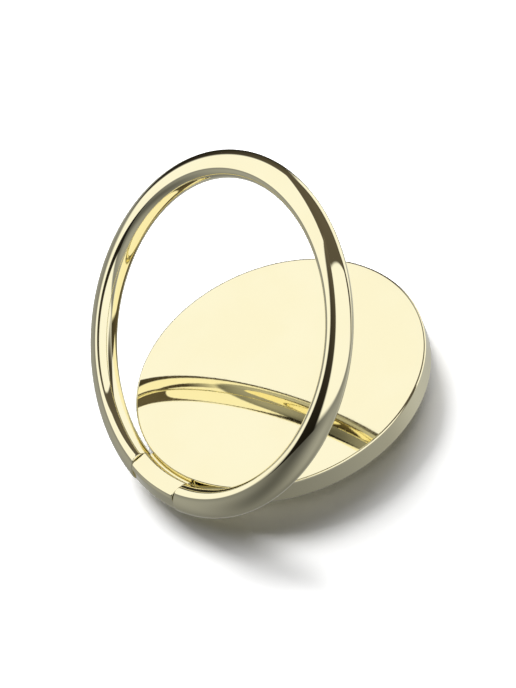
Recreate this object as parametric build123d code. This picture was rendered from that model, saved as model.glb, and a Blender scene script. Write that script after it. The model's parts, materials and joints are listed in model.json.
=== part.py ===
"""Phone ring holder: a polished disc that swivels on an adhesive base, with a finger ring hinged at its rim.

Millimetres. The origin is the centre of the adhesive face, +Z points away from the phone and the hinge lies on
the -X side, parallel to Y. The ring is stored lifted, as it stands in use.
"""

import os
from math import radians, tan

from build123d import *

# Finger ring
RING_DIAMETER = 40.2
RING_THICKNESS = 3.15
RING_HEIGHT = 3.0
RING_DOME = 2.04
RING_DOME_FULLNESS = 0.44
RING_CROWN_FULLNESS = 0.58
RING_LIFT = 43.0
RING_STANDOFF = 0.4
RING_END_GAP = 0.1
RING_END_EDGE = 0.12

# Disc
DISC_CLEARANCE = 0.2
DISC_STANDOFF = 0.9
DISC_TOP_EDGE = 0.25
DISC_FOOT_EDGE = 0.2
SKIRT_WIDTH = 1.95

# Hinge block and the neck that carries it
BLOCK_LENGTH = 7.3
BLOCK_INSET = 0.4
BLOCK_DROP = 0.25
BLOCK_ROUND = 0.7
BLOCK_EDGE = 0.2
BLOCK_WALL = 0.2
NECK_INSET = 0.2
NECK_DROP = 0.65
NECK_RAISE = 0.25
NECK_ROOT = 0.15
NECK_ROUND = 0.25
NECK_GROOVE = 0.14
NECK_GROOVE_DEPTH = 0.8

# Hinge pin and friction sleeve
HINGE_INSET = 0.275
PIN_DIAMETER = 1.0
PIN_SEAT_DEPTH = 2.0
PIN_POINT = 0.1
SEAT_FIT = 0.01
PIN_RUNNING_FIT = 0.02
SLEEVE_WALL = 0.13
SLEEVE_INSET = 0.3
SLEEVE_SPLIT = 0.25

# Adhesive base
PAD_THICKNESS = 0.8
PAD_INSET = 0.25
PAD_EDGE = 0.1
PLATE_SHEET = 0.5
PLATE_CLEARANCE = 0.35
PLATE_EDGE = 0.1
CROWN_RADIUS = 5.2
CROWN_SLOPE = 45.0
BEND_RADIUS = 0.2

# Swivel
SPIGOT_DIAMETER = 4.0
SPIGOT_RUNNING_FIT = 0.06
TAIL_DIAMETER = 2.6
PEEN_DIAMETER = 3.8
PEEN_HEIGHT = 0.25
PEEN_CLEARANCE = 0.2
WASHER_DIAMETER = 8.0
WASHER_THICKNESS = 0.4
END_PLAY = 0.05
CROWN_GAP = 0.2
SPRING_SHEET = 0.3
SPRING_WIDTH = 3.6
SPRING_SIDE_GAP = 0.4
SPRING_GAP = 0.05

# Ring and disc, worked out from the ring lying flush round the disc
ring_radius = RING_DIAMETER / 2
ring_inner = ring_radius - RING_THICKNESS
ring_mid_radius = (ring_radius + ring_inner) / 2
dome_centre = ring_radius - RING_DOME
ring_end = BLOCK_LENGTH / 2 + RING_END_GAP
disc_radius = ring_inner - DISC_CLEARANCE
disc_top = RING_STANDOFF + RING_HEIGHT
skirt_inner = disc_radius - SKIRT_WIDTH

# Hinge axis, a line along Y
hinge_x = -(ring_mid_radius - HINGE_INSET)
hinge_z = RING_STANDOFF + RING_HEIGHT / 2
hinge_axis = Axis((hinge_x, 0, hinge_z), (0, -1, 0))
pin_radius = PIN_DIAMETER / 2
sleeve_inner = pin_radius + PIN_RUNNING_FIT
sleeve_outer = sleeve_inner + SLEEVE_WALL
bore_radius = sleeve_outer + SEAT_FIT
block_inner = -hinge_x - bore_radius - BLOCK_WALL
block_outer = ring_radius - BLOCK_INSET
block_low = RING_STANDOFF + BLOCK_DROP
block_top = disc_top - BLOCK_DROP

# Levels of the swivel, from the adhesive upwards
flange_low = PAD_THICKNESS
flange_top = flange_low + PLATE_SHEET
peen_low = flange_low + PEEN_CLEARANCE
washer_low = peen_low + PEEN_HEIGHT
washer_top = washer_low + WASHER_THICKNESS
crown_low = washer_top + END_PLAY
crown_top = crown_low + PLATE_SHEET
recess_top = crown_top + CROWN_GAP

# Radii of the swivel
plate_radius = skirt_inner - PLATE_CLEARANCE
spigot_radius = SPIGOT_DIAMETER / 2
tail_radius = TAIL_DIAMETER / 2
crown_run = (crown_low - flange_low) / tan(radians(CROWN_SLOPE))
bend_shift = PLATE_SHEET * tan(radians(CROWN_SLOPE / 2))
crown_foot = CROWN_RADIUS + crown_run


def section(points, rounds=()):
    """Half section in the XZ plane from (radius, height) points, with (corner, radius) pairs rounded."""
    face = Polygon(*points, align=None)
    for corner, radius in rounds:
        face = fillet(face.vertices().sort_by_distance(corner)[0], radius)
    return Plane.XZ * face


def along_hinge(radius, low, high):
    """Round bar on the hinge axis from y = low to y = high."""
    bar = Rotation(-90, 0, 0) * Cylinder(radius, high - low, align=(Align.CENTER, Align.CENTER, Align.MIN))
    return Pos(hinge_x, low, hinge_z) * bar


def slab(low, high):
    """Box between two opposite corners."""
    size = [b - a for a, b in zip(low, high)]
    return Pos(*low) * Box(*size, align=Align.MIN)


def hinge_block():
    """Knuckle between the ring's ends: a short arc of rounded section, square across its ends."""
    outer_low = (block_outer, block_low)
    outer_top = (block_outer, block_top)
    inner_low = (block_inner, block_low)
    inner_top = (block_inner, block_top)
    face = section(
        (inner_low, outer_low, outer_top, inner_top),
        ((outer_low, BLOCK_ROUND), (outer_top, BLOCK_ROUND), (inner_low, BLOCK_EDGE), (inner_top, BLOCK_EDGE)),
    )
    half = BLOCK_LENGTH / 2
    reach = slab((-ring_radius, -half, block_low), (0, half, block_top))
    return revolve(face, Axis.Z) & reach


def hinge_neck():
    """Low bridge from inside the skirt to the block, rounded towards a narrow groove along the block."""
    half = BLOCK_LENGTH / 2 - NECK_INSET
    inside_skirt = skirt_inner + SKIRT_WIDTH / 2
    inside_block = block_inner + BLOCK_WALL / 2
    low = DISC_STANDOFF + NECK_RAISE
    top = disc_top - NECK_DROP
    groove_low = top - NECK_GROOVE_DEPTH
    shoulder = (block_inner - NECK_GROOVE, top)
    outline = (
        (inside_skirt, low),
        (inside_block, low),
        (inside_block, groove_low),
        (block_inner - NECK_GROOVE, groove_low),
        shoulder,
        (inside_skirt, top),
    )
    reach = slab((-ring_radius, -half, low), (0, half, top))
    return revolve(section(outline, ((shoulder, NECK_ROUND),)), Axis.Z) & reach


def disc_body():
    """Disc with its skirt and peened spigot, and the hinge block cast on its rim."""
    rim_top = (disc_radius, disc_top)
    rim_foot = (disc_radius, DISC_STANDOFF)
    peen_radius = PEEN_DIAMETER / 2
    outline = (
        (0, disc_top),
        rim_top,
        rim_foot,
        (skirt_inner, DISC_STANDOFF),
        (skirt_inner, recess_top),
        (spigot_radius, recess_top),
        (spigot_radius, washer_top),
        (tail_radius, washer_top),
        (tail_radius, washer_low),
        (peen_radius, washer_low),
        (peen_radius, peen_low),
        (0, peen_low),
    )
    disc = revolve(section(outline, ((rim_top, DISC_TOP_EDGE), (rim_foot, DISC_FOOT_EDGE))), Axis.Z)
    body = disc + hinge_neck() + hinge_block()
    half = BLOCK_LENGTH / 2 - NECK_INSET
    root = [
        edge
        for edge in body.edges().filter_by(Axis.Z)
        if abs(abs(edge.center().Y) - half) < NECK_ROOT and edge.center().X > -disc_radius - NECK_ROOT
    ]
    body = fillet(root, NECK_ROOT)
    return body - along_hinge(bore_radius, -BLOCK_LENGTH, BLOCK_LENGTH)


def quarter(tip, crest, fullness):
    """Curve of the ring's section from a tip, where it stands upright, to a crest, where it lies level."""
    rise = tip[1] + fullness * (crest[1] - tip[1])
    reach = crest[0] + fullness * (tip[0] - crest[0])
    return Bezier(tip, (tip[0], rise), (reach, crest[1]), crest).edges()


def whole_ring():
    """Closed hoop lying round the disc, with a deep dome outside and a shallow crown inside."""
    outer_tip = (ring_radius, hinge_z)
    inner_tip = (ring_inner, hinge_z)
    crest = (dome_centre, disc_top)
    foot = (dome_centre, RING_STANDOFF)
    dome = quarter(outer_tip, crest, RING_DOME_FULLNESS) + quarter(outer_tip, foot, RING_DOME_FULLNESS)
    crown = quarter(inner_tip, crest, RING_CROWN_FULLNESS) + quarter(inner_tip, foot, RING_CROWN_FULLNESS)
    return revolve(Plane.XZ * make_face(dome + crown), Axis.Z)


def lifted(solid):
    """A solid modelled with the ring lying down, turned up about the hinge."""
    return solid.rotate(hinge_axis, RING_LIFT)


def finger_ring():
    """Hoop opened for the block, drilled for the pin from the -Y side and blind on the +Y side."""
    mouth = slab((-ring_radius, -ring_end, RING_STANDOFF), (0, ring_end, disc_top))
    ring = whole_ring() - mouth
    ends = ring.faces().filter_by(Axis.Y).edges()
    ring = chamfer(ends, RING_END_EDGE)
    return lifted(ring - along_hinge(pin_radius + SEAT_FIT, -ring_radius, ring_end + PIN_SEAT_DEPTH))


def hinge_pin():
    """Steel pin, pointed at its blind end and dressed flush with the ring where it was driven in."""
    bar = along_hinge(pin_radius, -ring_radius, ring_end + PIN_SEAT_DEPTH)
    bar = chamfer(bar.edges().sort_by(Axis.Y)[-1], PIN_POINT)
    return lifted(bar & whole_ring())


def hinge_sleeve():
    """Spring sleeve with a slit along its underside."""
    end = BLOCK_LENGTH / 2 - SLEEVE_INSET
    tube = along_hinge(sleeve_outer, -end, end) - along_hinge(sleeve_inner, -end, end)
    slit = slab(
        (hinge_x - SLEEVE_SPLIT / 2, -end, hinge_z - sleeve_outer),
        (hinge_x + SLEEVE_SPLIT / 2, end, hinge_z),
    )
    return tube - slit


def base_plate():
    """Pressed sheet: a flat flange on the pad and a raised crown that the spigot runs through."""
    hole = spigot_radius + SPIGOT_RUNNING_FIT
    crown_under = (CROWN_RADIUS, crown_low)
    foot_under = (crown_foot, flange_low)
    foot_over = (crown_foot + bend_shift, flange_top)
    crown_over = (CROWN_RADIUS + bend_shift, crown_top)
    rim_low = (plate_radius, flange_low)
    rim_top = (plate_radius, flange_top)
    outline = ((hole, crown_low), crown_under, foot_under, rim_low, rim_top, foot_over, crown_over, (hole, crown_top))
    outside_bend = BEND_RADIUS + PLATE_SHEET
    rounds = (
        (crown_under, BEND_RADIUS),
        (foot_over, BEND_RADIUS),
        (crown_over, outside_bend),
        (foot_under, outside_bend),
        (rim_low, PLATE_EDGE),
        (rim_top, PLATE_EDGE),
    )
    return revolve(section(outline, rounds), Axis.Z)


def spring_washer():
    """Cone spring: its outer edge stands on the plate's flange and its inner edge pushes up on the disc."""
    inner = crown_foot + bend_shift + SPRING_SIDE_GAP
    outer = inner + SPRING_WIDTH
    top = recess_top - SPRING_GAP
    outline = ((outer, flange_top), (outer, flange_top + SPRING_SHEET), (inner, top), (inner, top - SPRING_SHEET))
    return revolve(section(outline), Axis.Z)


def retaining_washer():
    """Flat washer clamped between the spigot's shoulder and its peened end."""
    hole = tail_radius + SEAT_FIT
    outer = WASHER_DIAMETER / 2
    outline = ((hole, washer_low), (outer, washer_low), (outer, washer_top), (hole, washer_top))
    return revolve(section(outline), Axis.Z)


def adhesive_pad():
    """Round foam tape under the plate's flange, covering the crown's hollow."""
    radius = plate_radius - PAD_INSET
    low = (radius, 0)
    top = (radius, PAD_THICKNESS)
    outline = ((0, 0), low, top, (0, PAD_THICKNESS))
    return revolve(section(outline, ((low, PAD_EDGE), (top, PAD_EDGE))), Axis.Z)


PIECES = (
    adhesive_pad,
    base_plate,
    spring_washer,
    retaining_washer,
    disc_body,
    hinge_sleeve,
    finger_ring,
    hinge_pin,
)

os.makedirs("parts", exist_ok=True)
for piece in PIECES:
    export_step(piece(), f"parts/{piece.__name__}.step")
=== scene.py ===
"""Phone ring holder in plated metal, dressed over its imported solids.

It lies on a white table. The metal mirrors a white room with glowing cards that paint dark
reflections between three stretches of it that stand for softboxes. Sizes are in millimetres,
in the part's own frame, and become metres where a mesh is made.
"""

import json
import logging
import math
from abc import ABC, abstractmethod
from dataclasses import dataclass
from enum import Enum
from functools import reduce
from typing import Any, ClassVar, Iterable

import bpy
import numpy as np
from mathutils import Matrix, Vector


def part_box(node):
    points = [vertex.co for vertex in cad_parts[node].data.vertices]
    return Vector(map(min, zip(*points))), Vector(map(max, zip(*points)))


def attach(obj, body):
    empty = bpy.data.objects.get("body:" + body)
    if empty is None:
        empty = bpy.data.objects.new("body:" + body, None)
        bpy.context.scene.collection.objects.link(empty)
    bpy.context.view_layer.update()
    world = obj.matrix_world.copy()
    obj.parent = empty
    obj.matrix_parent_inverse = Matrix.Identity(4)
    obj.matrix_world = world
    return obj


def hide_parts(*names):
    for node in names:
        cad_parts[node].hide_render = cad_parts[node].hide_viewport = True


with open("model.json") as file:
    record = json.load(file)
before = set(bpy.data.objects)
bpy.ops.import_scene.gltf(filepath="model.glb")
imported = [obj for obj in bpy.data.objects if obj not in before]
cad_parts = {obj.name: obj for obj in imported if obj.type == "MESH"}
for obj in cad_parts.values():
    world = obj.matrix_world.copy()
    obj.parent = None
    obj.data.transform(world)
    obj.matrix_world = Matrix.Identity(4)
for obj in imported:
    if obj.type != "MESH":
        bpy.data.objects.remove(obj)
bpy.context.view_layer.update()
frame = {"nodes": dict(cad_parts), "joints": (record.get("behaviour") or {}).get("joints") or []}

MM = 0.001
LOG = logging.getLogger("ring_holder")

Triple = tuple[float, float, float]
Colour = Triple
Pair = tuple[float, float]
Array = np.ndarray
Socket = bpy.types.NodeSocket
Material = bpy.types.Material

WHITE: Colour = (1.0, 1.0, 1.0)
UNIT: Pair = (0.0, 1.0)
CREASE = 40.0  # degrees above which an edge is sharp
HOLD = 0.03  # distance of the rows that keep a face flat beside a rounding


class Slot(Enum):
    """Material slots of the part."""

    PLATED = "plated_metal"
    STEEL = "steel"
    TAPE = "foam_tape"


class Body(Enum):
    """Bodies that new pieces move with."""

    DISC = "disc"
    RING = "ring"


def joint_named(name: str) -> dict[str, Any]:
    """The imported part's joint of this name."""
    return next(joint for joint in frame["joints"] if joint["name"] == name)


def linked(name: str, data: bpy.types.ID) -> bpy.types.Object:
    """Make an object and link it into the scene.

    Args:
        name: Name of the object.
        data: Its mesh, lamp or camera.

    Returns:
        The object, at the origin.
    """
    made = bpy.data.objects.new(name, data)
    bpy.context.scene.collection.objects.link(made)
    return made


def arc(centre: Pair, radii: Pair, start: float, stop: float, count: int) -> Array:
    """Points of an elliptical arc: centre + (a cos t, b sin t), with t in degrees."""
    turn = np.radians(np.linspace(start, stop, count))
    return np.array(centre) + np.array(radii) * np.column_stack([np.cos(turn), np.sin(turn)])


def rounding(edge: float, count: int) -> Array:
    """How far a rounded edge draws in and stops short: e(1 - cos t) and e(1 - sin t)."""
    turn = np.radians(np.linspace(0, 90, count + 1)[1:])
    return edge * np.array([1 - np.cos(turn), 1 - np.sin(turn)])


def run(start: Pair, stop: Pair, inset: float, count: int = 2) -> Array:
    """Points inside a straight stretch, the first and last of them a short inset from its ends."""
    step = (np.array(stop) - np.array(start)) * inset / math.dist(start, stop)
    return np.linspace(start + step, stop - step, count)


def outward(outline: Array) -> Array:
    """Unit normals of an anticlockwise outline: the tangent between neighbours, turned by -90."""
    along = np.roll(outline, -1, axis=0) - np.roll(outline, 1, axis=0)
    return along[:, ::-1] * (1.0, -1.0) / np.linalg.norm(along, axis=1, keepdims=True)


def beside_hinge(radius: Any, y: Array, z: Any) -> Array:
    """Points at a radius on the -X side: (-sqrt(r^2 - y^2), y, z)."""
    return np.stack(np.broadcast_arrays(-np.sqrt(radius**2 - y**2), y, z), axis=-1)


def quads_between(index: Array) -> Array:
    """Quads between neighbouring rows and columns of a grid of point numbers."""
    corners = [index[:-1, :-1], index[:-1, 1:], index[1:, 1:], index[1:, :-1]]
    return np.stack(corners, axis=-1).reshape(-1, 4)


@dataclass
class Skin:
    """Closed surface on a grid: columns run round it, and rows end in poles or meet again.

    Attributes:
        grid: Points of shape (rows, columns, 3), in millimetres.
        poles: First and last point of shape (2, 3), or None where the last row joins the first.
    """

    grid: Array
    poles: Array | None = None

    def points(self) -> Array:
        """All points, the poles last."""
        flat = self.grid.reshape(-1, 3)
        return flat if self.poles is None else np.vstack([flat, self.poles])

    def faces(self) -> tuple[Array, Array]:
        """Quads between neighbouring rows and columns, and triangles round the poles.

        They are turned round where the sum of a . (b x c) over their triangles, which is six times
        the volume inside, comes out negative.

        Returns:
            Quads of shape (n, 4) and triangles of shape (m, 3), facing outwards.
        """
        rows, columns = self.grid.shape[:2]
        index = np.arange(rows * columns).reshape(rows, columns)
        round_it = np.column_stack([index, index[:, 0]])
        if self.poles is None:
            quads = quads_between(np.vstack([round_it, round_it[:1]]))
            triangles = np.zeros((0, 3), int)
        else:
            quads = quads_between(round_it)
            first = np.full(columns, rows * columns)
            triangles = np.vstack([
                np.column_stack([first, round_it[0, 1:], index[0]]),
                np.column_stack([first + 1, index[-1], round_it[-1, 1:]]),
            ])
        every = np.vstack([quads[:, [0, 1, 2]], quads[:, [0, 2, 3]], triangles])
        a, b, c = np.moveaxis(self.points()[every], 1, 0)
        if np.einsum("ij,ij->", a, np.cross(b, c)) < 0:
            quads, triangles = quads[:, ::-1], triangles[:, ::-1]
        return quads, triangles


def mesh_object(name: str, skins: list[Skin], crease: float = CREASE) -> bpy.types.Object:
    """Put closed skins into one smooth-shaded mesh, in metres, with sharp edges at creases.

    Args:
        name: Name of the object.
        skins: The surfaces it is made of.
        crease: Angle in degrees above which an edge is sharp.

    Returns:
        The linked object, at the origin.
    """
    points: list[Array] = []
    faces: list[list[int]] = []
    start = 0
    for skin in skins:
        quads, triangles = skin.faces()
        faces += (quads + start).tolist() + (triangles + start).tolist()
        points.append(skin.points())
        start += len(points[-1])
    mesh = bpy.data.meshes.new(name)
    mesh.from_pydata((np.vstack(points) * MM).tolist(), [], faces)
    mesh.polygons.foreach_set("use_smooth", np.ones(len(mesh.polygons), bool))
    mesh.set_sharp_from_angle(angle=math.radians(crease))
    mesh.update()
    return linked(name, mesh)


def revolved(profile: Array, ends: Pair, count: int) -> Skin:
    """Turn a profile round the Z axis: (r cos t, r sin t, z) for t round the circle.

    Args:
        profile: Radius and height of each row, of shape (rows, 2).
        ends: Heights of the two poles.
        count: Number of columns round the axis.

    Returns:
        The closed skin.
    """
    turn = np.linspace(0, 2 * math.pi, count, endpoint=False)
    radius, height = profile[:, :1], profile[:, 1:]
    places = np.broadcast_arrays(radius * np.cos(turn), radius * np.sin(turn), height)
    return Skin(np.stack(places, axis=-1), np.array([[0, 0, ends[0]], [0, 0, ends[1]]], float))


class NodeBench:
    """Places nodes in a node tree and joins them."""

    def __init__(self, tree: bpy.types.NodeTree) -> None:
        """Take a tree to work on."""
        self.tree = tree

    def feed(self, socket: Socket, source: Any) -> None:
        """Join an output to an input, or set the input to a plain value.

        Args:
            socket: The input.
            source: An output socket or a value.
        """
        if isinstance(source, Socket):
            self.tree.links.new(source, socket)
        else:
            socket.default_value = source

    def add(self, kind: str, sources: dict[Any, Any], output: Any = 0, **settings: Any) -> Socket:
        """Place a node and feed it.

        Args:
            kind: The node's type, after ShaderNode.
            sources: Outputs or plain values, by the name or number of the input.
            output: Name or number of the output to give.
            **settings: Properties to set on the node.

        Returns:
            The output.
        """
        node = self.tree.nodes.new(f"ShaderNode{kind}")
        for name, value in settings.items():
            setattr(node, name, value)
        for key, source in sources.items():
            self.feed(node.inputs[key], source)
        return node.outputs[output]

    def place(self) -> Socket:
        """The object's own coordinates."""
        return self.add("TexCoord", {}, "Object")

    def distance(self, place: Socket, point: Triple) -> Socket:
        """Distance of a place from a point that is given in millimetres."""
        metres = tuple(part * MM for part in point)
        return self.add("VectorMath", {0: place, 1: metres}, "Value", operation="DISTANCE")

    def maths(self, operation: str, a: Any, b: Any = 0.0, clamp: bool = False) -> Socket:
        """One operation on two values or outputs."""
        return self.add("Math", {0: a, 1: b}, operation=operation, use_clamp=clamp)

    def total(self, values: Iterable[Socket]) -> Socket:
        """Sum of outputs, held between 0 and 1."""
        return reduce(lambda a, b: self.maths("ADD", a, b, clamp=True), values)

    def seen(self) -> Socket:
        """1 for rays from the camera, by a reflection or through glass, and 0 for others."""
        path = self.add("LightPath", {}).node.outputs
        return self.total(path[f"Is {kind} Ray"] for kind in ("Camera", "Glossy", "Transmission"))

    def ramp(self, value: Socket, places: Pair, levels: Pair = UNIT) -> Socket:
        """A value mapped smoothly from the span between two places to that between two levels."""
        sources = dict(enumerate((value, *places, *levels)))
        return self.add("MapRange", sources, interpolation_type="SMOOTHSTEP")

    def blend(self, share: Socket, first: Any, second: Any) -> Socket:
        """Two colours or outputs mixed by the share of the second."""
        a, b = (tone if isinstance(tone, Socket) else (*tone, 1.0) for tone in (first, second))
        return self.add("Mix", {0: share, 6: a, 7: b}, 2, data_type="RGBA")

    def noise(self, place: Socket, scale: Socket, detail: float) -> Socket:
        """Soft noise between 0 and 1, with its cells per unit and its finer octaves."""
        return self.add("TexNoise", {"Vector": place, "Scale": scale, "Detail": detail})

    def relief(self, height: Socket, depth: float) -> Socket:
        """Normal of a surface with fine relief, its depth in metres."""
        return self.add("Bump", {"Distance": depth, "Height": height})

    def show(self, share: Socket, first: Socket, second: Socket) -> None:
        """Let the material show two shaders mixed by the share of the second."""
        mixed = self.add("MixShader", {0: share, 1: first, 2: second})
        self.feed(self.tree.nodes["Material Output"].inputs[0], mixed)


@dataclass(frozen=True)
class Polish:
    """Shared traces of polishing: a soft mottle and fine lines along one direction.

    Attributes:
        stretch: How much each axis is squeezed for the lines.
        mottle: Scale of the mottle, in cells per metre.
        lines: Scale of the lines, in cells per metre.
    """

    stretch: Triple
    mottle: float
    lines: float

    NAME: ClassVar[str] = "polish_traces"
    OCTAVES: ClassVar[Pair] = (3.0, 2.0)

    @classmethod
    def group(cls) -> bpy.types.NodeTree:
        """Build the node group once.

        Mottle is a broad noise of the object's coordinates. Lines is a fine noise of the
        coordinates squeezed by Stretch, so that its cells become streaks.

        Returns:
            The node group.
        """
        if cls.NAME in bpy.data.node_groups:
            return bpy.data.node_groups[cls.NAME]
        tree = bpy.data.node_groups.new(cls.NAME, "ShaderNodeTree")
        for way, kind, names in (
            ("INPUT", "Vector", ("Place", "Stretch")),
            ("INPUT", "Float", ("Mottle Scale", "Line Scale")),
            ("OUTPUT", "Float", ("Mottle", "Lines")),
        ):
            for name in names:
                tree.interface.new_socket(name, in_out=way, socket_type=f"NodeSocket{kind}")
        bench = NodeBench(tree)
        given = tree.nodes.new("NodeGroupInput").outputs
        result = tree.nodes.new("NodeGroupOutput").inputs
        place, (broad, fine) = given["Place"], cls.OCTAVES
        squeezed = bench.add("VectorMath", {0: place, 1: given["Stretch"]}, operation="MULTIPLY")
        bench.feed(result["Mottle"], bench.noise(place, given["Mottle Scale"], broad))
        bench.feed(result["Lines"], bench.noise(squeezed, given["Line Scale"], fine))
        return tree

    def traces(self, bench: NodeBench) -> tuple[Socket, Socket]:
        """Put the group into a material with these values.

        Args:
            bench: The material's nodes.

        Returns:
            The outputs with the mottle and the lines.
        """
        values = (bench.place(), self.stretch, self.mottle, self.lines)
        outputs = bench.add("Group", dict(enumerate(values)), node_tree=self.group()).node.outputs
        return outputs["Mottle"], outputs["Lines"]


def new_material(name: str) -> tuple[Material, NodeBench, bpy.types.Node]:
    """Start a node material.

    Args:
        name: Name of the material.

    Returns:
        The material, its nodes and its Principled shader.
    """
    made = bpy.data.materials.new(name)
    made.use_nodes = True
    return made, NodeBench(made.node_tree), made.node_tree.nodes["Principled BSDF"]


class Finish(ABC):
    """Finish of a piece."""

    def material(self, name: str) -> Material:
        """Build the material.

        Args:
            name: Name of the material.

        Returns:
            The material.
        """
        made, bench, shader = new_material(name)
        for socket, source in self.inputs(bench).items():
            bench.feed(shader.inputs[socket], source)
        return made

    @abstractmethod
    def inputs(self, bench: NodeBench) -> dict[str, Any]:
        """What each input of the Principled shader takes: an output or a plain value."""


@dataclass(frozen=True)
class PlatedGold(Finish):
    """Pale champagne plating, polished to a mirror.

    Attributes:
        colour: Reflected colour of the clean plating.
        deep: Reflected colour where the plating is a little thicker.
        tone: Mottle where the thicker plating begins and is complete.
        wipe: Strength of the traces where wiping begins and is complete.
        roughness: Roughness of the best and the most wiped places.
        relief: Depth of the polishing lines, in metres.
        seam: Point on the hinge axis where a pin's dressed end may show.
        pin: Radius of the hairline round that end; 0 where there is none.
        hairline: Width of the hairline.
        mark: The hairline's share of the deeper colour, and its depth in polishing lines.
        polish: Traces of polishing.
    """

    colour: Colour = (0.99, 0.925, 0.64)
    deep: Colour = (0.985, 0.913, 0.615)
    tone: Pair = (0.35, 0.7)
    wipe: Pair = (0.12, 0.42)
    roughness: Pair = (0.018, 0.042)
    relief: float = 1.2e-7
    seam: Pair = (0.0, 0.0)
    pin: float = 0.0
    hairline: float = 0.03
    mark: Pair = (0.25, 6.0)
    polish: Polish = Polish((1.0, 1.0, 0.12), 130.0, 2600.0)

    def inputs(self, bench: NodeBench) -> dict[str, Any]:
        """Mirror metal with a faint mottle, wiped places and polishing lines.

        Args:
            bench: The material's nodes.

        Returns:
            What each input of the shader takes.
        """
        mottle, lines = self.polish.traces(bench)
        wiped = bench.ramp(bench.maths("MULTIPLY", mottle, lines), self.wipe, self.roughness)
        colour = bench.blend(bench.ramp(mottle, self.tone), self.colour, self.deep)
        height = lines
        if self.pin > 0:
            mark = self.pin_mark(bench)
            colour = bench.blend(bench.maths("MULTIPLY", mark, self.mark[0]), colour, self.deep)
            height = bench.maths("SUBTRACT", lines, bench.maths("MULTIPLY", mark, self.mark[1]))
        normal = bench.relief(height, self.relief)
        return {"Base Color": colour, "Roughness": wiped, "Normal": normal, "Metallic": 1.0}

    def pin_mark(self, bench: NodeBench) -> Socket:
        """Hairline round the pin's dressed end: 1 at the pin's radius from the hinge axis.

        Args:
            bench: The material's nodes.

        Returns:
            The output with the mask.
        """
        place, across = bench.place(), (1.0, 0.0, 1.0)
        flat = bench.add("VectorMath", {0: place, 1: across}, operation="MULTIPLY")
        away = bench.distance(flat, (self.seam[0], 0.0, self.seam[1]))
        off = bench.maths("ABSOLUTE", bench.maths("SUBTRACT", away, self.pin * MM))
        line = bench.ramp(off, (0.0, self.hairline * MM), (1.0, 0.0))
        side = bench.maths("LESS_THAN", bench.add("SeparateXYZ", {0: place}, "Y"), 0.0)
        return bench.maths("MULTIPLY", line, side)


@dataclass(frozen=True)
class SheetSteel(Finish):
    """Bright rolled steel with fine drawn lines.

    Attributes:
        colour: Colour of the clean metal.
        dull: Colour of its oiled, duller patches.
        tone: Mottle where a dull patch begins and is complete.
        drawn: Strength of the drawn lines where they begin to roughen and are roughest.
        roughness: Roughness there.
        relief: Depth of the drawn lines, in metres.
        polish: Traces of rolling.
    """

    colour: Colour = (0.66, 0.655, 0.63)
    dull: Colour = (0.50, 0.495, 0.48)
    tone: Pair = (0.35, 0.68)
    drawn: Pair = (0.3, 0.7)
    roughness: Pair = (0.22, 0.40)
    relief: float = 4e-6
    polish: Polish = Polish((0.06, 1.0, 1.0), 420.0, 9000.0)

    def inputs(self, bench: NodeBench) -> dict[str, Any]:
        """Satin metal with dull patches and drawn lines.

        Args:
            bench: The material's nodes.

        Returns:
            What each input of the shader takes.
        """
        mottle, lines = self.polish.traces(bench)
        colour = bench.blend(bench.ramp(mottle, self.tone), self.colour, self.dull)
        rough = bench.ramp(lines, self.drawn, self.roughness)
        normal = bench.relief(lines, self.relief)
        return {"Base Color": colour, "Roughness": rough, "Normal": normal, "Metallic": 1.0}


@dataclass(frozen=True)
class FoamTape(Finish):
    """Black closed-cell foam with open cells along its cut edge.

    Attributes:
        colour: Colour of the skin.
        cell: Colour inside the cells.
        cells: Cells per metre.
        wall: Distance from a cell's middle, in cells, where its wall begins and is complete.
        patch: Mottle where a dark patch ends and a bright one is complete.
        patch_levels: Brightness there.
        roughness: Roughness inside the cells and on their walls.
        relief: Depth of the cells, in metres.
        polish: Mottle of the skin.
    """

    colour: Colour = (0.035, 0.035, 0.037)
    cell: Colour = (0.012, 0.012, 0.013)
    cells: float = 7000.0
    wall: Pair = (0.1, 0.55)
    patch: Pair = (0.3, 0.7)
    patch_levels: Pair = (0.6, 1.0)
    roughness: Pair = (0.95, 0.72)
    relief: float = 2.5e-5
    polish: Polish = Polish(WHITE, 600.0, 4000.0)

    def inputs(self, bench: NodeBench) -> dict[str, Any]:
        """Matt skin over cells that are darker and rougher inside.

        Args:
            bench: The material's nodes.

        Returns:
            What each input of the shader takes.
        """
        mottle = self.polish.traces(bench)[0]
        cells = bench.add("TexVoronoi", {"Vector": bench.place(), "Scale": self.cells}, "Distance")
        wall = bench.ramp(cells, self.wall)
        shade = bench.maths("MULTIPLY", wall, bench.ramp(mottle, self.patch, self.patch_levels))
        colour = bench.blend(shade, self.cell, self.colour)
        rough = bench.ramp(wall, UNIT, self.roughness)
        return {"Base Color": colour, "Roughness": rough, "Normal": bench.relief(wall, self.relief)}


def settle(piece: bpy.types.Object, node: str, body: Body, finish: Material) -> None:
    """Give a new piece its finish and let it stand for a CAD node.

    Args:
        piece: The new piece.
        node: The node it replaces.
        body: The body it moves with.
        finish: Its material.
    """
    piece.data.materials.append(finish)
    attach(piece, body.value)
    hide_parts(node)
    LOG.info("%s: %d faces for %s", piece.name, len(piece.data.polygons), node)


def dress(node: str, finish: Material) -> None:
    """Give a CAD node that stays its finish.

    Args:
        node: The node.
        finish: Its material.
    """
    kept = frame["nodes"][node]
    kept.data.materials.clear()
    kept.data.materials.append(finish)
    LOG.info("%s: dressed", node)


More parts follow.
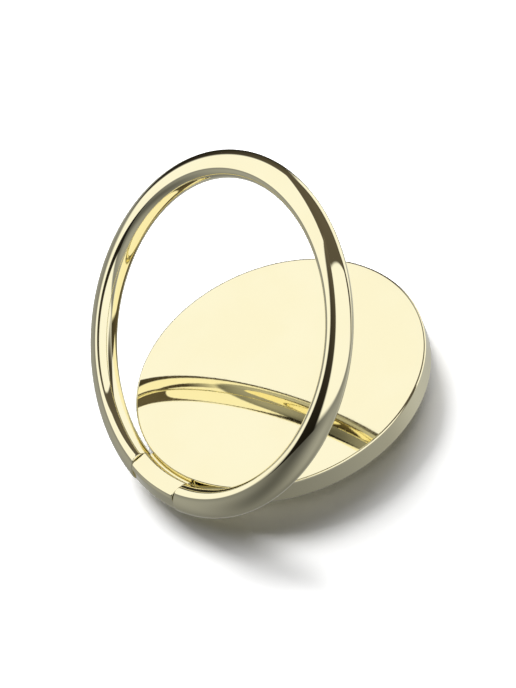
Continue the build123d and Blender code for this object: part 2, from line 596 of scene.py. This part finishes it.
@dataclass
class Hinge:
    """Place of the ring's hinge.

    Attributes:
        x: Where the axis crosses the XZ plane, along X.
        z: The same along Z.
        lift: Angle in degrees by which the ring stands up.
    """

    x: float
    z: float
    lift: float

    @classmethod
    def from_frame(cls) -> "Hinge":
        """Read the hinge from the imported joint; its lowest angle lays the ring down."""
        joint = joint_named("ring_hinge")
        return cls(joint["pos_m"][0] / MM, joint["pos_m"][2] / MM, -joint["range_deg"][0])

    def lifted(self, points: Array) -> Array:
        """Turn points that lie with the ring down up about the hinge axis.

        Args:
            points: Points of shape (..., 3).

        Returns:
            The points as the ring stands.
        """
        across, up = points[..., 0] - self.x, points[..., 2] - self.z
        cos, sin = math.cos(math.radians(self.lift)), math.sin(math.radians(self.lift))
        x, z = self.x + across * cos - up * sin, self.z + across * sin + up * cos
        return np.stack([x, points[..., 1], z], axis=-1)


@dataclass
class FingerRing:
    """Hoop with a deep dome outside and a shallow crown inside, open for the hinge block.

    Attributes:
        hinge: The hinge it turns on.
        outer: Outside radius.
        thickness: Width of the section across the hoop.
        height: Height of the section.
        dome: Depth of the domed outside.
        dome_fullness: How far the dome's curve follows its two tangents, as a share.
        crown_fullness: The same for the inside.
        mouth: Half of the opening for the block.
        edge: Rounding of the two ends.
        end_insets: Further insets of the rows that keep the ends flat.
        pin_line: Radius of the hairline round the pin's dressed end.
    """

    hinge: Hinge
    outer: float
    thickness: float = 3.15
    height: float = 3.0
    dome: float = 2.04
    dome_fullness: float = 0.44
    crown_fullness: float = 0.58
    mouth: float = 3.75
    edge: float = 0.12
    end_insets: Pair = (HOLD, 0.5)
    pin_line: float = 0.505

    @classmethod
    def from_frame(cls, hinge: Hinge) -> "FingerRing":
        """Read the hoop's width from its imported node."""
        low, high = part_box("finger_ring")
        return cls(hinge, (high.y - low.y) / 2 / MM)

    def quarter(self, tip: float, fullness: float, count: int) -> Array:
        """Cubic curve from a tip at mid height, where it is upright, to the level crest.

        With s = 1 - t a point is s^3 a + 3 s^2 t b + 3 s t^2 c + t^3 d, for t from 0 to 1.

        Args:
            tip: Radius of the tip.
            fullness: Share of each tangent that the inner control points take.
            count: Number of points.

        Returns:
            Radius and height above the hinge of each point, of shape (count, 2).
        """
        half, crest = self.height / 2, self.outer - self.dome
        a, b = np.array([tip, 0.0]), np.array([tip, fullness * half])
        c, d = np.array([crest + fullness * (tip - crest), half]), np.array([crest, half])
        t = np.linspace(0, 1, count)[:, None]
        return (1 - t) ** 3 * a + 3 * (1 - t) ** 2 * t * b + 3 * (1 - t) * t**2 * c + t**3 * d

    def section(self) -> Array:
        """Outline of the section, anticlockwise from the outer tip: dome, crown, and both below.

        Returns:
            Radius and height above the hinge of each point, of shape (count, 2).
        """
        dome = self.quarter(self.outer, self.dome_fullness, count=40)
        crown = self.quarter(self.outer - self.thickness, self.crown_fullness, count=30)
        below = np.array([1.0, -1.0])
        return np.vstack([dome[:-1], crown[:0:-1], below * crown[:-1], below * dome[:0:-1]])

    def end(self, outline: Array, side: float) -> Array:
        """Rows of one end: the outline drawn in by e(1 - cos t) while y nears the end by e sin t.

        Args:
            outline: The section's outline.
            side: 1 for the end on the +Y side and -1 for the other.

        Returns:
            Rows from the hoop inwards, of shape (rows, count, 3).
        """
        drawn, short = rounding(self.edge, count=4)
        drawn = np.append(drawn, self.edge + np.array(self.end_insets))
        y = self.mouth + np.append(short, [0.0, 0.0])
        inside = outline - drawn[:, None, None] * outward(outline)
        return beside_hinge(inside[..., 0], side * y[:, None], self.hinge.z + inside[..., 1])

    def skin(self) -> Skin:
        """Carry the section round the hoop: each point's angle runs until y meets the opening.

        Returns:
            The closed skin, as the ring stands.
        """
        outline = self.section()
        radius = outline[:, 0]
        reach = math.pi - np.arcsin((self.mouth + self.edge) / radius)
        turn = np.linspace(-1, 1, num=620)[:, None] * reach
        height = np.broadcast_to(self.hinge.z + outline[:, 1], turn.shape)
        hoop = np.stack([radius * np.cos(turn), radius * np.sin(turn), height], axis=-1)
        grid = np.concatenate([self.end(outline, -1)[::-1], hoop, self.end(outline, 1)])
        ends = np.array([-self.mouth, self.mouth])
        poles = beside_hinge(self.outer - self.thickness / 2, ends, self.hinge.z)
        return Skin(self.hinge.lifted(grid), self.hinge.lifted(poles))

    def build(self) -> None:
        """Make the ring and let it stand for its node."""
        finish = PlatedGold(seam=(self.hinge.x, self.hinge.z), pin=self.pin_line)
        piece = mesh_object("polished_ring", [self.skin()])
        settle(piece, "finger_ring", Body.RING, finish.material("plated_ring"))


@dataclass
class SwivelDisc:
    """Mirror disc with its skirt and spigot, and the hinge block on its rim.

    Attributes:
        hinge: The hinge that the block carries.
        radius: Outside radius of the disc.
        top: Height of its face.
        foot: Height of the skirt's lower edge.
        top_edge: Rounding round the face.
        foot_edge: Rounding round the skirt's foot.
        skirt: Inside radius of the skirt.
        ceiling: Height of the recess inside the skirt.
        spigot: Radius, lower end and tail radius of the spigot.
        peen: Radius, upper side and lower side of its peened end.
        block_radii: Inside and outside radius of the block.
        block_half: Half of the block's length.
        block_drop: How far the block's top lies below the disc's face.
        block_round: Rounding of its outer corners.
        block_edge: Rounding of its inner corners.
        block_end: Rounding of its two ends.
        block_hold: Distance of the points that keep its sides flat beside the corners.
        bore: Radius of its bore.
        neck_half: Half of the neck's length.
        neck_heights: Lower and upper side of the neck.
        neck_root: Rounding where the neck meets the disc.
        neck_round: Height of the bead along its top.
        neck_reach: How far the neck runs into the disc and into the block.
        groove: Width and depth of the groove between the neck and the block.
    """

    hinge: Hinge
    radius: float
    top: float
    foot: float = 0.9
    top_edge: float = 0.25
    foot_edge: float = 0.2
    skirt: float = 14.8
    ceiling: float = 2.4
    spigot: Triple = (2.0, 1.65, 1.3)
    peen: Triple = (1.9, 1.25, 1.0)
    block_radii: Pair = (17.39, 19.7)
    block_half: float = 3.65
    block_drop: float = 0.05
    block_round: float = 0.7
    block_edge: float = 0.2
    block_end: float = 0.06
    block_hold: float = 0.04
    bore: float = 0.66
    neck_half: float = 3.45
    neck_heights: Pair = (1.15, 2.75)
    neck_root: float = 0.15
    neck_round: float = 0.25
    neck_reach: Pair = (1.0, 0.1)
    groove: Pair = (0.14, 0.8)

    @classmethod
    def from_frame(cls, hinge: Hinge) -> "SwivelDisc":
        """Read the disc's radius and height from its node; the block lies on the other side."""
        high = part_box("disc_body")[1]
        return cls(hinge, high.x / MM, high.z / MM)

    def disc_skin(self) -> Skin:
        """Turn the disc's profile, from its face round the rim and under the skirt to the spigot.

        Returns:
            The closed skin.
        """
        face, wall = self.radius - self.top_edge, self.top - self.top_edge
        toe, sole = self.foot + self.foot_edge, self.radius - self.foot_edge
        bar, shoulder, tail = self.spigot
        cap, peen_top, peen_low = self.peen
        profile = np.vstack([
            run((0, self.top), (face, self.top), HOLD, count=14),
            arc((face, wall), (self.top_edge, self.top_edge), 90, 0, count=12),
            run((self.radius, wall), (self.radius, toe), HOLD, count=5),
            arc((sole, toe), (self.foot_edge, self.foot_edge), 0, -90, count=10),
            run((sole, self.foot), (self.skirt, self.foot), HOLD),
            [(self.skirt, self.foot), (self.skirt, self.ceiling)],
            [(bar, self.ceiling), (bar, shoulder), (tail, shoulder)],
            [(tail, peen_top), (cap, peen_top), (cap, peen_low)],
        ])
        return revolved(profile, (self.top, peen_low), count=384)

    def block_outline(self) -> Array:
        """Outline of the block's section, anticlockwise: a box with large outer corners.

        Returns:
            Radius and height of each point, of shape (count, 2).
        """
        inner, outer = self.block_radii
        high = self.top - self.block_drop
        low = 2 * self.hinge.z - high
        big, small = self.block_round, self.block_edge
        corners = (
            arc((outer - big, low + big), (big, big), -90, 0, count=18),
            arc((outer - big, high - big), (big, big), 0, 90, count=18),
            arc((inner + small, high - small), (small, small), 90, 180, count=10),
            arc((inner + small, low + small), (small, small), 180, 270, count=10),
        )
        ends = zip(corners, corners[1:] + corners[:1])
        sides = [run(a[-1], b[0], self.block_hold, count=5) for a, b in ends]
        return np.vstack([part for pair in zip(corners, sides) for part in pair])

    def block_skin(self) -> Skin:
        """Carry the section along the rim between two square ends, then back through the bore.

        A point at radius r lies at x = -sqrt(r^2 - y^2) for y along the block. The ends' edges are
        rounded by a small quarter turn, and each end narrows to the bore's circle.

        Returns:
            The closed skin.
        """
        outline = self.block_outline()
        along = np.linspace(-1, 1, num=60) * (self.block_half - self.block_end)
        drawn, short = rounding(self.block_end, count=3)
        drawn = np.append(drawn, self.block_end + HOLD)
        y_end = self.block_half - np.append(short, 0.0)
        y = np.concatenate([-y_end[::-1], along, y_end])[:, None]
        inset = np.concatenate([drawn[::-1], np.zeros_like(along), drawn])
        inside = outline - inset[:, None, None] * outward(outline)
        outside = beside_hinge(inside[..., 0], y, inside[..., 1])
        angle = np.arctan2(outline[:, 1] - self.hinge.z, -outline[:, 0] - self.hinge.x)
        back = np.linspace(1, -1, num=8)[:, None] * self.block_half
        hole_x = self.hinge.x + self.bore * np.cos(angle)
        hole_z = self.hinge.z + self.bore * np.sin(angle)
        bore = np.stack(np.broadcast_arrays(hole_x, back, hole_z), axis=-1)
        return Skin(np.concatenate([outside, bore]))

    def neck_skin(self) -> Skin:
        """Carry the neck's section along the rim, flaring by q - sqrt(q^2 - (q - s)^2) at the disc.

        Here q is the root's rounding and s a point's distance from the disc's wall, from 0 to q.

        Returns:
            The closed skin.
        """
        low, high = self.neck_heights
        shoulder, bend = self.block_radii[0] - self.groove[0], self.neck_round
        bead = (shoulder - self.radius) / 2
        tail, heel = self.radius - self.neck_reach[0], self.block_radii[0] + self.neck_reach[1]
        floor, brow = high - self.groove[1], high - bend
        root = np.append(tail, self.radius + np.linspace(0, 1, num=9) * self.neck_root)
        outline = np.vstack([
            np.column_stack([root, np.full(len(root), low)]),
            [(heel, low), (heel, floor), (shoulder, floor)],
            arc((self.radius + bead, brow), (bead, bend), 0, 180, count=19)[:-1],
            [(self.radius, brow), (tail, brow)],
        ])
        gap = np.clip(outline[:, 0] - self.radius, 0, self.neck_root)
        flare = self.neck_root - np.sqrt(self.neck_root**2 - (self.neck_root - gap) ** 2)
        y = np.linspace(-1, 1, num=40)[:, None] * (self.neck_half + flare)
        ends = np.array([-self.neck_half, self.neck_half])
        poles = beside_hinge(self.radius + bend, ends, low + bend)
        return Skin(beside_hinge(outline[:, 0], y, outline[:, 1]), poles)

    def build(self) -> None:
        """Make the disc with its block and let it stand for its node."""
        skins = [self.disc_skin(), self.block_skin(), self.neck_skin()]
        piece = mesh_object("mirror_disc", skins)
        settle(piece, "disc_body", Body.DISC, PlatedGold().material("plated_disc"))


@dataclass
class HingePin:
    """Steel pin and spring sleeve in the hinge.

    Attributes:
        hinge: The hinge they lie in.
        radius: Radius of the pin.
        driven_end: Y of the end that is dressed off under the plating.
        blind_end: Y of the pointed end.
        point: Size of the point.
    """

    hinge: Hinge
    radius: float = 0.5
    driven_end: float = -6.75
    blind_end: float = 5.75
    point: float = 0.1

    def skin(self) -> Skin:
        """Turn the pin's profile and lay it along the hinge axis: (x, y, z) becomes (x, z, y).

        Returns:
            The closed skin, as the ring stands.
        """
        shaft = np.linspace(self.driven_end, self.blind_end - self.point, num=12)
        y = np.concatenate([[self.driven_end], shaft, [self.blind_end]])
        radius = np.full(len(y), self.radius)
        radius[0] = radius[-1] = self.radius - self.point
        ends = (self.driven_end, self.blind_end)
        turned = revolved(np.column_stack([radius, y]), ends, count=48)
        axis = np.array([self.hinge.x, 0.0, self.hinge.z])
        laid = (points[..., [0, 2, 1]] + axis for points in (turned.grid, turned.poles))
        return Skin(*map(self.hinge.lifted, laid))

    def build(self, steel: Material) -> None:
        """Make the pin and dress the sleeve.

        Args:
            steel: The steel pieces' finish.
        """
        piece = mesh_object("hinge_axle", [self.skin()], crease=30.0)
        settle(piece, "hinge_pin", Body.RING, steel)
        dress("hinge_sleeve", steel)


@dataclass
class AdhesiveBase:
    """Foam pad, pressed plate and the washers of the swivel, all CAD nodes.

    Attributes:
        steel_nodes: Nodes in steel.
        tape_node: The foam pad.
    """

    steel_nodes: tuple[str, ...] = ("base_plate", "spring_washer", "retaining_washer")
    tape_node: str = "adhesive_pad"

    def build(self, steel: Material, tape: Material) -> None:
        """Dress the nodes.

        Args:
            steel: The steel pieces' finish.
            tape: The pad's finish.
        """
        for node in self.steel_nodes:
            dress(node, steel)
        dress(self.tape_node, tape)


class SetFrame:
    """Directions on the set: azimuth from straight away to the right, and elevation."""

    UP = np.array([0.40684, 0.06764, 0.91099])
    AWAY = np.array([0.52956, 0.79512, -0.29554])
    RIGHT = np.cross(AWAY, UP)

    @classmethod
    def direction(cls, azimuth: Array, elevation: Array) -> Array:
        """Unit vectors (cos e cos a) away + (cos e sin a) right + (sin e) up, from degrees."""
        a, e = np.radians(azimuth)[..., None], np.radians(elevation)[..., None]
        return np.cos(e) * (np.cos(a) * cls.AWAY + np.sin(a) * cls.RIGHT) + np.sin(e) * cls.UP


@dataclass
class Card(ABC):
    """Glowing card on a sphere round the object that only reflections see: a painted reflection, no
    lamp.

    Attributes:
        name: Name of the card.
        distance: Distance from the object.
        shades: Brightness of its painted glow at its lower and upper edge.
    """

    name: str
    distance: float
    shades: Pair

    # Warm colour of the painted reflections' glow.
    TINT: ClassVar[Colour] = (1.0, 0.86, 0.66)
    CHART: ClassVar[str] = "card"
    GRID: ClassVar[tuple[int, int]] = (97, 49)
    MIDDLE: ClassVar[Triple] = (0.0, 0.0, 10.0)

    @abstractmethod
    def angles(self, u: Array, v: Array) -> tuple[Array, Array]:
        """Azimuth and elevation at the shares u across and v up."""

    @abstractmethod
    def cover(self, bench: NodeBench, u: Socket, v: Socket) -> Socket:
        """How much the card hides there, from 0 to 1."""

    def shade(self, bench: NodeBench, u: Socket, v: Socket) -> Socket:
        """Brightness there, from the lower to the upper edge."""
        return bench.ramp(v, UNIT, self.shades)

    def material(self) -> Material:
        """Build the card's glow, a painted reflection, see-through where it doesn't cover.

        Returns:
            The material.
        """
        made, bench, shader = new_material(self.name)
        made.node_tree.nodes.remove(shader)
        chart = bench.add("UVMap", {}, uv_map=self.CHART)
        u, v = bench.add("SeparateXYZ", {0: chart}).node.outputs[:2]
        shade, cover = self.shade(bench, u, v), self.cover(bench, u, v)
        glow = bench.add("Emission", {"Color": (*self.TINT, 1.0), "Strength": shade})
        bench.show(cover, bench.add("BsdfTransparent", {}), glow)
        return made

    def build(self) -> None:
        """Lay the card on its sphere: middle + distance times the direction at each (u, v)."""
        u, v = np.meshgrid(*(np.linspace(0, 1, count) for count in self.GRID))
        points = self.distance * SetFrame.direction(*self.angles(u, v)) + np.array(self.MIDDLE)
        quads = quads_between(np.arange(u.size).reshape(u.shape))
        mesh = bpy.data.meshes.new(self.name)
        mesh.from_pydata((points.reshape(-1, 3) * MM).tolist(), [], quads.tolist())
        shares = np.stack([u, v], axis=-1).reshape(-1, 2)[quads.reshape(-1)]
        chart = mesh.uv_layers.new(name=self.CHART)
        chart.data.foreach_set("uv", shares.ravel().astype(np.float32))
        mesh.materials.append(self.material())
        card = linked(self.name, mesh)
        # Only reflections see the painted glow; it lights and shades nothing.
        card.visible_camera = card.visible_diffuse = card.visible_shadow = False
        LOG.info("%s: card at %.0f mm", self.name, self.distance)


@dataclass
class DarkReflectionCard(Card):
    """Dim glowing card, a painted dark reflection between two stretches of white room that stand
    for softboxes.

    Attributes:
        left: Azimuth and elevation of its lower left and upper left corner.
        right: The same of its right corners.
        soft: Shares of the width over which the left and the right edge fade.
        foot: Share of the height over which the lower edge fades.
    """

    left: tuple[Pair, Pair]
    right: tuple[Pair, Pair]
    soft: Pair
    foot: float = 0.01

    def angles(self, u: Array, v: Array) -> tuple[Array, Array]:
        """Azimuth and elevation at (u, v), each blended between the four corners."""
        shares = np.array([(1 - u) * (1 - v), (1 - u) * v, u * (1 - v), u * v])
        return tuple(np.tensordot(np.transpose([*self.left, *self.right]), shares, axes=1))

    def cover(self, bench: NodeBench, u: Socket, v: Socket) -> Socket:
        """How much the card hides: it fades at its two upright edges and at its foot.

        Args:
            bench: The material's nodes.
            u: Output with the share across.
            v: Output with the share up.

        Returns:
            The output with the cover, from 0 to 1.
        """
        near = bench.ramp(u, (0.0, self.soft[0]))
        far = bench.ramp(u, (1.0 - self.soft[1], 1.0), (1.0, 0.0))
        foot = bench.ramp(v, (0.0, self.foot))
        return bench.maths("MULTIPLY", bench.maths("MULTIPLY", near, far), foot)


@dataclass
class CeilingReflectionCard(Card):
    """Dim glowing card, a painted reflection of a dim room above three stretches of white room that
    stand for upright softboxes.

    Attributes:
        boxes: Azimuth of each box's middle and elevation of its top edge there.
        soft: Share of the height over which the lower edge fades.
    """

    boxes: tuple[Pair, ...]
    soft: float = 0.08

    def angles(self, u: Array, v: Array) -> tuple[Array, Array]:
        """From the boxes' top edges to straight above; an edge follows tan e = tan e0 cos(a - a0).

        Args:
            u: Share of the full circle.
            v: Share from the edge to straight above.

        Returns:
            Azimuths and elevations.
        """
        azimuth = 360 * u - 180
        middle, top = np.radians(np.array(self.boxes)).T[..., None, None]
        rise = np.tan(top) * np.cos(np.radians(azimuth) - middle)
        edge = np.degrees(np.arctan(rise.max(axis=0)))
        return azimuth, edge + v * (90 - edge)

    def cover(self, bench: NodeBench, u: Socket, v: Socket) -> Socket:
        """How much the card hides: it fades along the boxes' top edges."""
        return bench.ramp(v, (0.0, self.soft))


@dataclass
class GroundReflectionCard(Card):
    """Glowing grey card, a painted reflection of the table as the metal sees it, with painted shade
    between the softboxes and a painted shadow under the object.

    Its shades are what is left of its brightness nearby and at the far edge.

    Attributes:
        painted_floor_stops: Share of the circle and painted brightness there, round the table.
        painted_shadow_below: Brightness straight below, the painted shadow under the object.
        near: Shares of the height over which the painted shadow under the object ends.
        far: Shares of the height over which the table falls off.
        rise: Elevation of the far edge.
        soft: Share of the height over which the far edge fades.
    """

    painted_floor_stops: tuple[Pair, ...]
    painted_shadow_below: float = 0.21
    near: Pair = (0.15, 0.7)
    far: Pair = (0.75, 1.0)
    rise: float = 3.0
    soft: float = 0.06

    # Cool colour of the painted table reflection.
    TINT: ClassVar[Colour] = (0.94, 0.96, 1.0)

    def angles(self, u: Array, v: Array) -> tuple[Array, Array]:
        """From straight below up to the table's far edge, all round."""
        return 360 * u - 180, -90 + v * (90 + self.rise)

    def shade(self, bench: NodeBench, u: Socket, v: Socket) -> Socket:
        """Painted brightness round the table, falling to the painted shadow below and a little
        towards the edge.

        Args:
            bench: The material's nodes.
            u: Output with the share of the circle.
            v: Output with the share up.

        Returns:
            The output with the brightness.
        """
        # Painted table brightness round the circle, darker between the softboxes: painted shade.
        band = bench.add("ValToRGB", {0: u})
        band.node.color_ramp.interpolation = "EASE"
        marks = band.node.color_ramp.elements
        for index, (place, level) in enumerate(self.painted_floor_stops):
            stop = marks[index] if index < len(marks) else marks.new(place)
            stop.position = place
            stop.color = (level, level, level, 1.0)
        near = bench.ramp(v, self.near, (1.0, 0.0))
        far = bench.ramp(v, self.far, self.shades)
        # Painted shadow: towards straight below, the level falls to the brightness under the
        # object.
        level = bench.blend(near, band, (self.painted_shadow_below,) * 3)
        return bench.blend(far, (0.0, 0.0, 0.0), level)

    def cover(self, bench: NodeBench, u: Socket, v: Socket) -> Socket:
        """How much the card hides: it fades at its far edge."""
        return bench.ramp(v, (1.0 - self.soft, 1.0), (1.0, 0.0))


@dataclass
class Lamp:
    """Broad lamp for the table and the foam; the mirror metal shows the room instead of it.

    Attributes:
        name: Name of the lamp.
        level: Brightness that it gives to a white table.
        place: Azimuth and elevation that it shines from, in the part's frame.
        width: How wide it looks, in degrees.
    """

    name: str
    level: float
    place: Pair
    width: float

    def build(self) -> None:
        """Place the lamp; its strength is pi times the level over the sine of its elevation."""
        a, e = (math.radians(angle) for angle in self.place)
        light = bpy.data.lights.new(self.name, "SUN")
        light.energy = math.pi * self.level / math.sin(e)
        light.angle = math.radians(self.width)
        lamp = linked(self.name, light)
        toward = Vector((math.cos(e) * math.cos(a), math.cos(e) * math.sin(a), math.sin(e)))
        lamp.rotation_euler = toward.to_track_quat("Z", "Y").to_euler()
        lamp.visible_glossy = False
        LOG.info("%s: level %.2f", self.name, self.level)


@dataclass
class Studio:
    """White table, white surroundings, two broad lamps, a painted glow on the table and glowing
    cards that paint the reflections.

    Attributes:
        table: Radius of the table.
        table_colour: Colour of the table.
        table_roughness: Its roughness.
        painted_glow_middle: Point on the table, on the shadow's side, that its painted glow grows
            round.
        painted_glow_steps: Distances from there between which the painted glow gains, and how much
            it gains.
        fill: Brightness of the surroundings as the table and the foam see them.
        lamps: The lamps.
        cards: Glowing cards, painted reflections that the metal mirrors instead of the white
            surroundings.
    """

    table: float = 2500.0
    table_colour: Colour = (0.95, 0.95, 0.95)
    table_roughness: float = 0.9
    # Painted light: the table glows whiter away from the shadow, washing out the shadow's far part.
    painted_glow_middle: Pair = (-4.0, -3.3)
    painted_glow_steps: tuple[Triple, ...] = ((14.5, 20.5, 0.45), (20.5, 30.0, 0.45))
    fill: float = 0.03
    lamps: tuple[Lamp, ...] = (
        Lamp("low_lamp", 0.86, (73.0, 18.0), 36.0),
        Lamp("top_lamp", 0.11, (50.0, 75.0), 70.0),
    )
    # Glowing cards that paint the metal's dark reflections and the grey table it mirrors.
    cards: tuple[Card, ...] = (
        # Painted dark reflections between the softboxes.
        DarkReflectionCard(
            "back_dark_reflection", 500.0, (0.012, 0.10),
            ((-48.0, -4.0), (-32.0, 66.0)), ((36.0, -4.0), (10.0, 66.0)), soft=(0.12, 0.22),
        ),
        DarkReflectionCard(
            "right_dark_reflection", 500.0, (0.01, 0.09),
            ((80.0, -16.0), (90.0, 66.0)), ((126.0, -16.0), (106.0, 66.0)), (0.12, 0.2), foot=0.55,
        ),
        DarkReflectionCard(
            "left_dark_reflection", 500.0, (0.01, 0.13),
            ((-154.0, -4.0), (-128.0, 66.0)), ((-97.0, -4.0), (-124.0, 66.0)), soft=(0.15, 0.15),
        ),
        # Painted reflection of a dim ceiling.
        CeilingReflectionCard("ceiling", 520.0, (0.10, 0.115), ((-72.0, 65.5), (48.0, 58.0), (168.0, 65.0))),
        # Painted table reflection, with its painted shade and painted shadow.
        GroundReflectionCard("painted_ground_reflection", 540.0, (1.0, 0.65), (
            (0.0, 0.35), (0.14, 0.12), (0.26, 0.36), (0.38, 0.33), (0.5, 0.62),
            (0.59, 0.5), (0.67, 0.52), (0.77, 0.36), (0.88, 0.34), (1.0, 0.37),
        )),
    )

    def build_table(self) -> None:
        """Lay a round white table; seen from below it isn't there."""
        turn = np.linspace(0, 2 * math.pi, num=96, endpoint=False)
        rim = np.column_stack([self.table * np.cos(turn), self.table * np.sin(turn), 0 * turn])
        mesh = bpy.data.meshes.new("white_table")
        mesh.from_pydata((rim * MM).tolist(), [], [list(range(len(rim)))])
        made, bench, shader = new_material("table_white")
        for socket, source in {
            "Base Color": (*self.table_colour, 1.0),
            "Roughness": self.table_roughness,
            "Specular IOR Level": 0.0,
            # Painted glow that whitens the table away from the shadow.
            "Emission Color": (*WHITE, 1.0),
            "Emission Strength": self.painted_table_glow(bench),
        }.items():
            bench.feed(shader.inputs[socket], source)
        below = bench.add("NewGeometry", {}, "Backfacing")
        bench.show(below, shader.outputs[0], bench.add("BsdfTransparent", {}))
        mesh.materials.append(made)
        table = linked("white_table", mesh)
        table.visible_glossy = False
        LOG.info("white_table: %.1f m across", 2 * self.table * MM)

    def painted_table_glow(self, bench: NodeBench) -> Socket:
        """Painted glow that the table gains by itself where it is seen, growing away from the
        shadow.

        Args:
            bench: The table's nodes.

        Returns:
            The output with the gain.
        """
        away = bench.distance(bench.place(), (*self.painted_glow_middle, 0.0))
        steps = (((near * MM, far * MM), (0.0, gain)) for near, far, gain in self.painted_glow_steps)
        gains = bench.total(bench.ramp(away, *step) for step in steps)
        # Painted light round the shadow, seen by the camera and in reflections.
        return bench.maths("MULTIPLY", bench.seen(), gains)

    def build_world(self) -> None:
        """White surroundings: full white where they are seen, the fill where they give light."""
        world = bpy.data.worlds.new("white_room")
        bpy.context.scene.world = world
        world.use_nodes = True
        bench = NodeBench(world.node_tree)
        room = world.node_tree.nodes["Background"]
        bench.feed(room.inputs["Color"], (*WHITE, 1.0))
        extra = bench.maths("MULTIPLY", bench.seen(), 1.0 - self.fill)
        bench.feed(room.inputs["Strength"], bench.maths("ADD", extra, self.fill))

    def build(self) -> None:
        """Set up the table, the room, the lamps and the cards."""
        self.build_table()
        self.build_world()
        for item in (*self.lamps, *self.cards):
            item.build()


@dataclass
class Camera:
    """Camera at the photograph's viewing angle.

    Attributes:
        azimuth: Bearing of the camera from the object, 0 looking along +Y.
        elevation: Its height above the horizon.
        roll: Turn of the picture.
        aim: Point on the table that the middle of the picture shows.
        distance: From that point to the camera.
        lens: Focal length in picture pixels, and the picture's long side.
        sensor: The sensor's long side.
        clip: Nearest and farthest distance seen, in metres.
    """

    azimuth: float = -22.870
    elevation: float = 44.770
    roll: float = 23.438
    aim: Pair = (2.412, 8.350)
    distance: float = 506.980
    lens: Pair = (4500.0, 688.0)
    sensor: float = 36.0
    clip: Pair = (0.01, 20.0)

    def build(self) -> None:
        """Place the camera: back = (sin a cos e, -cos a cos e, sin e), then turned by the roll."""
        a, e, r = (math.radians(angle) for angle in (self.azimuth, self.elevation, self.roll))
        back = Vector((math.sin(a) * math.cos(e), -math.cos(a) * math.cos(e), math.sin(e)))
        level = Vector((math.cos(a), math.sin(a), 0.0))
        right = level * math.cos(r) - back.cross(level) * math.sin(r)
        data = bpy.data.cameras.new("camera")
        data.sensor_width = self.sensor
        data.lens = self.lens[0] / self.lens[1] * self.sensor
        data.clip_start, data.clip_end = self.clip
        camera = linked("camera", data)
        place = Vector((*self.aim, 0.0)) + back * self.distance
        turn = Matrix((right, back.cross(right), back)).transposed().to_4x4()
        camera.matrix_world = Matrix.Translation(place * MM) @ turn
        bpy.context.scene.camera = camera
        LOG.info("camera: %.0f mm away", self.distance)


def main() -> None:
    """Build every sub-assembly, then the set and the camera."""
    logging.basicConfig(level=logging.INFO, format="%(name)s: %(message)s")
    bpy.context.scene.view_settings.view_transform = "Standard"
    steel = SheetSteel().material("sheet_steel")
    tape = FoamTape().material("black_foam")
    hinge = Hinge.from_frame()
    FingerRing.from_frame(hinge).build()
    SwivelDisc.from_frame(hinge).build()
    HingePin(hinge).build(steel)
    AdhesiveBase().build(steel, tape)
    Studio().build()
    Camera().build()


if __name__ == "__main__":
    main()
